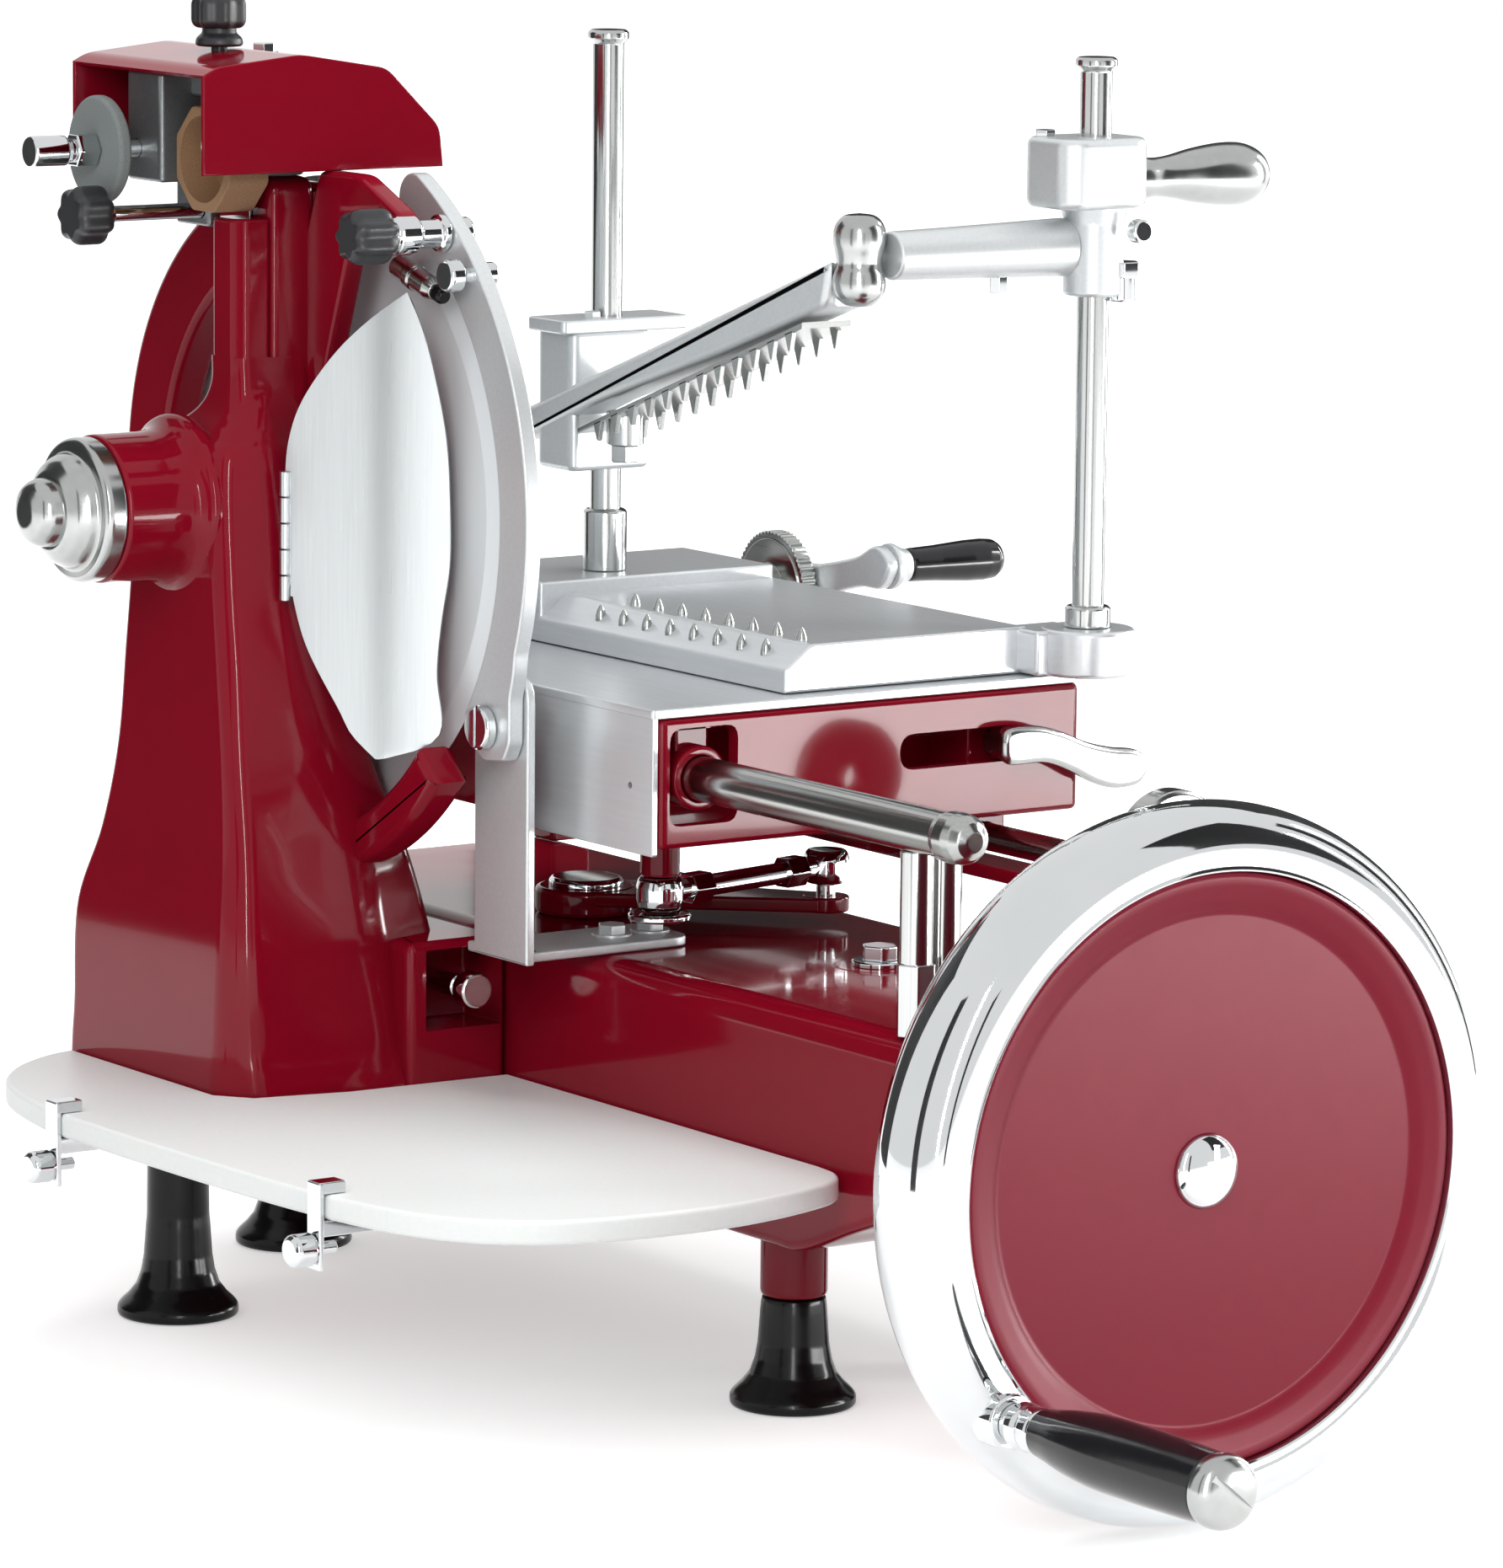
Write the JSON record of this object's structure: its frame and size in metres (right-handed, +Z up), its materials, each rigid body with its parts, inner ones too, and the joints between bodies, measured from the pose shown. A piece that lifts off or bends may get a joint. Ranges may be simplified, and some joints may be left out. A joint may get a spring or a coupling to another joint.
{
  "type": "hand crank meat slicer",
  "caption": "Flywheel meat slicer: round blade on a tall column, sliding carriage on rails, spiked table with toothed press, sharpener hood and slice tray.",
  "frame": {"origin": "the middle of the front left foot, on the surface that the feet stand on", "axes": "+Z up, +X away from the bearing cap toward the feed crank, +Y away from the flywheel along the rails"},
  "size_m": [0.5976, 0.9723, 0.671],
  "materials": {
    "red_paint": "gloss enamel",
    "satin_red": "satin enamel",
    "chrome": "polished",
    "steel": "ground",
    "blade_steel": "polished",
    "aluminium": "satin",
    "black_plastic": "gloss",
    "knob_plastic": "matt",
    "white_board": "matt",
    "grey_stone": "abrasive",
    "tan_stone": "abrasive",
    "dark_steel": "satin"
  },
  "bodies": {
    "base": {"base_casting": "red_paint", "column_casting": "red_paint", "foot_column": "black_plastic", "foot_rear": "black_plastic", "foot_front_left": "black_plastic", "foot_front_right": "black_plastic", "deck_bolt": "steel", "bearing_cap": "chrome", "drive_chain": "dark_steel", "guard_ring": "aluminium", "ring_bracket": "aluminium", "ring_screw": "chrome", "ring_stop": "knob_plastic", "tray_board": "white_board", "tray_clip_left": "steel", "tray_clip_right": "steel", "rail_front": "steel", "rail_rear": "steel", "rail_post_front": "steel", "rail_post_rear": "steel", "rail_post_second": "steel", "rail_bridge": "red_paint", "hood": "red_paint", "stone_holder": "dark_steel", "deburring_cup": "tan_stone"},
    "flywheel": {"main_shaft": "steel", "flywheel_rim": "chrome", "flywheel_disc": "satin_red", "flywheel_screw": "chrome", "handle_pin": "chrome", "handle_cap": "chrome"},
    "wheel_grip": {"handle_grip": "black_plastic"},
    "cross_drive": {"cross_shaft": "steel"},
    "blade_unit": {"blade": "blade_steel", "blade_shaft": "steel"},
    "cover": {"blade_cover": "blade_steel"},
    "rocker": {"rocker_arm": "red_paint"},
    "carriage": {"carriage_casting": "red_paint", "receiving_plate": "aluminium"},
    "link": {"connecting_rod": "chrome"},
    "lock_lever": {"table_lock_lever": "aluminium"},
    "table": {"meat_table": "aluminium", "rod_left": "steel", "rod_right": "steel"},
    "feed": {"feed_screw": "steel", "feed_crank": "aluminium"},
    "feed_handle": {"feed_grip": "black_plastic"},
    "press": {"press_head": "aluminium", "elbow": "chrome", "press_beam": "aluminium", "tooth_plate": "steel"},
    "press_clamp": {"press_clamp_handle": "aluminium"},
    "guard_knob": {"ring_knob": "knob_plastic"},
    "top_knob": {"hood_knob": "knob_plastic"},
    "stone_wheel": {"grinding_wheel": "grey_stone", "grinding_spindle": "chrome"},
    "stone_pusher": {"stone_knob": "knob_plastic"},
    "lock_pin": {"column_pin": "chrome"},
    "clip_screw_left": {"tray_screw_left": "steel"},
    "clip_screw_right": {"tray_screw_right": "steel"}
  },
  "joints": [
    {"name": "flywheel_turn", "type": "hinge", "parent": "base", "child": "flywheel", "pos_m": [0.002, -0.305, 0.171], "axis": [0, 1, 0], "continuous": true},
    {"name": "wheel_grip_turn", "type": "hinge", "parent": "flywheel", "child": "wheel_grip", "pos_m": [-0.11272, -0.396, 0.07128], "axis": [0, 1, 0], "continuous": true},
    {"name": "cross_turn", "type": "hinge", "parent": "base", "child": "cross_drive", "pos_m": [-0.076, 0.304, 0.171], "axis": [1, 0, 0], "continuous": true},
    {"name": "blade_turn", "type": "hinge", "parent": "base", "child": "blade_unit", "pos_m": [-0.076, 0.304, 0.42], "axis": [1, 0, 0], "continuous": true},
    {"name": "cover_swing", "type": "hinge", "parent": "base", "child": "cover", "pos_m": [-0.14, 0.2458, 0.408], "axis": [0, 0, 1], "range_deg": [-60, 0]},
    {"name": "rocker_swing", "type": "hinge", "parent": "base", "child": "rocker", "pos_m": [0.042, 0.249, 0.21], "axis": [0, 0, 1], "range_deg": [-28, 28]},
    {"name": "carriage_slide", "type": "slide", "parent": "base", "child": "carriage", "axis": [0, 1, 0], "range_m": [-0.1, 0.07]},
    {"name": "link_swing", "type": "hinge", "parent": "carriage", "child": "link", "pos_m": [0.01, 0.134, 0.232], "axis": [0, 0, 1], "range_deg": [-25, 25]},
    {"name": "lock_lever_turn", "type": "hinge", "parent": "carriage", "child": "lock_lever", "pos_m": [0.1585, 0.048, 0.307], "axis": [0, -1, 0], "range_deg": [-18, 22]},
    {"name": "feed_turn", "type": "hinge", "parent": "carriage", "child": "feed", "pos_m": [0.124, 0.324, 0.35], "axis": [1, 0, 0], "range_deg": [0, 1800]},
    {"name": "table_slide", "type": "slide", "parent": "carriage", "child": "table", "axis": [1, 0, 0], "range_m": [-0.08, 0]},
    {"name": "feed_handle_turn", "type": "hinge", "parent": "feed", "child": "feed_handle", "pos_m": [0.264, 0.242, 0.37], "axis": [1, 0, 0], "continuous": true},
    {"name": "press_slide", "type": "slide", "parent": "table", "child": "press", "axis": [0, 0, 1], "range_m": [-0.018, 0.025]},
    {"name": "press_clamp_turn", "type": "hinge", "parent": "press", "child": "press_clamp", "pos_m": [0.274, 0.042, 0.586], "axis": [1, 0, 0], "range_deg": [-90, 90]},
    {"name": "guard_knob_turn", "type": "hinge", "parent": "base", "child": "guard_knob", "pos_m": [-0.126, 0.192, 0.56], "axis": [1, 0, 0], "continuous": true},
    {"name": "top_knob_turn", "type": "hinge", "parent": "base", "child": "top_knob", "pos_m": [-0.136, 0.316, 0.65], "axis": [0, 0, 1], "continuous": true},
    {"name": "stone_wheel_turn", "type": "hinge", "parent": "base", "child": "stone_wheel", "pos_m": [-0.186, 0.349, 0.594], "axis": [1, 0, 0], "continuous": true},
    {"name": "stone_pusher_slide", "type": "slide", "parent": "base", "child": "stone_pusher", "axis": [1, 0, 0], "range_m": [-0.012, 0]},
    {"name": "lock_pin_slide", "type": "slide", "parent": "base", "child": "lock_pin", "axis": [0, -1, 0], "range_m": [0, 0.012]},
    {"name": "clip_screw_left_turn", "type": "hinge", "parent": "base", "child": "clip_screw_left", "pos_m": [-0.276, 0.242, 0.106], "axis": [1, 0, 0], "continuous": true},
    {"name": "clip_screw_right_turn", "type": "hinge", "parent": "base", "child": "clip_screw_right", "pos_m": [-0.271, 0.008, 0.106], "axis": [1, 0, 0], "continuous": true}
  ],
  "couplings": [
    {"joint": "cross_turn", "follows": "flywheel_turn", "ratio": -1},
    {"joint": "blade_turn", "follows": "flywheel_turn", "ratio": -1.3333},
    {"joint": "table_slide", "follows": "feed_turn", "m_per_rad": -0.0025465}
  ]
}
